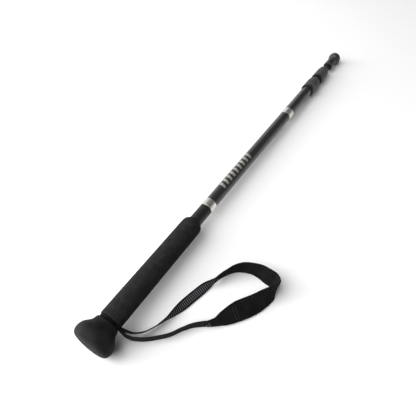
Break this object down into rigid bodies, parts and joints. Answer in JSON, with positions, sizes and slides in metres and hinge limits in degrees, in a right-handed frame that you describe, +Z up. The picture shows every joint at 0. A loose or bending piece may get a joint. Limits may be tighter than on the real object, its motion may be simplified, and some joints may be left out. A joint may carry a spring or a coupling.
{
  "type": "telescoping hiking staff",
  "caption": "Telescoping hiking staff pushed together, with a mushroom knob, foam grip, padded wrist strap, twist locks and a rubber ball foot.",
  "frame": {"origin": "on the ground it lies on, under the middle of the length from the knob to the ball foot", "axes": "+X along the staff from the knob to the ball foot, +Y away from the side the wrist strap lies on, +Z up from the ground; the staff rests on its knob and ball foot, so its axis slopes down 1.18 degrees towards +X"},
  "size_m": [0.702, 0.1656, 0.0498],
  "materials": {
    "soft_rubber": "matte moulded rubber, near black",
    "eva_foam": "matte closed-cell EVA foam, near black",
    "ribbed_rubber": "satin moulded rubber with fine lengthwise ribs",
    "foot_rubber": "satin moulded rubber, dark grey",
    "coated_tube": "gloss clear coat over a dark wound pattern, satin black next to the grip",
    "bare_alloy": "machined aluminium",
    "bright_alloy": "bright brushed aluminium band",
    "ferrule": "satin moulded glass-filled nylon, dark grey",
    "steel": "zinc plated steel",
    "plastic": "moulded nylon, dark grey",
    "webbing": "ribbed woven nylon webbing, black",
    "neoprene": "knit-faced neoprene band with bound edges, charcoal"
  },
  "bodies": {
    "tip_section": {"tip_tube": "coated_tube", "tip_guide": "plastic", "tip_ferrule": "ferrule", "foot_washer": "steel", "rubber_foot": "foot_rubber"},
    "middle_section": {"middle_tube": "coated_tube", "middle_guide": "plastic", "lock_2_sleeve": "plastic", "lock_2_collet": "plastic"},
    "lower_lock": {"lock_2_nut": "plastic", "lock_2_grip": "ribbed_rubber"},
    "grip_section": {"outer_tube": "coated_tube", "foam_grip": "eva_foam", "trim_band_1": "bright_alloy", "trim_band_2": "bright_alloy", "top_plug": "bare_alloy", "knob_stud": "steel", "strap_end_tabs": "webbing", "lock_1_sleeve": "plastic", "lock_1_collet": "plastic", "strap_webbing_far": "webbing", "strap_webbing_near": "webbing", "strap_pad": "neoprene"},
    "upper_lock": {"lock_1_nut": "plastic", "lock_1_grip": "ribbed_rubber"},
    "knob": {"knob_cover": "soft_rubber", "knob_core": "plastic"}
  },
  "joints": [
    {"name": "tip_slide", "type": "slide", "parent": "tip_section", "child": "middle_section", "axis": [-0.9998, 0, 0.0205], "range_m": [0, 0.4]},
    {"name": "middle_slide", "type": "slide", "parent": "middle_section", "child": "grip_section", "axis": [-0.9998, 0, 0.0205], "range_m": [0, 0.42]},
    {"name": "lower_lock_twist", "type": "hinge", "parent": "middle_section", "child": "lower_lock", "pos_m": [0.27102, 0, 0.01233], "axis": [0.9998, 0, -0.0205], "range_deg": [0, 180]},
    {"name": "upper_lock_twist", "type": "hinge", "parent": "grip_section", "child": "upper_lock", "pos_m": [0.22903, 0, 0.01319], "axis": [0.9998, 0, -0.0205], "range_deg": [0, 180]},
    {"name": "knob_turn", "type": "hinge", "parent": "grip_section", "child": "knob", "pos_m": [-0.33285, 0, 0.02474], "axis": [0.9998, 0, -0.0205], "range_deg": [0, 360]}
  ]
}
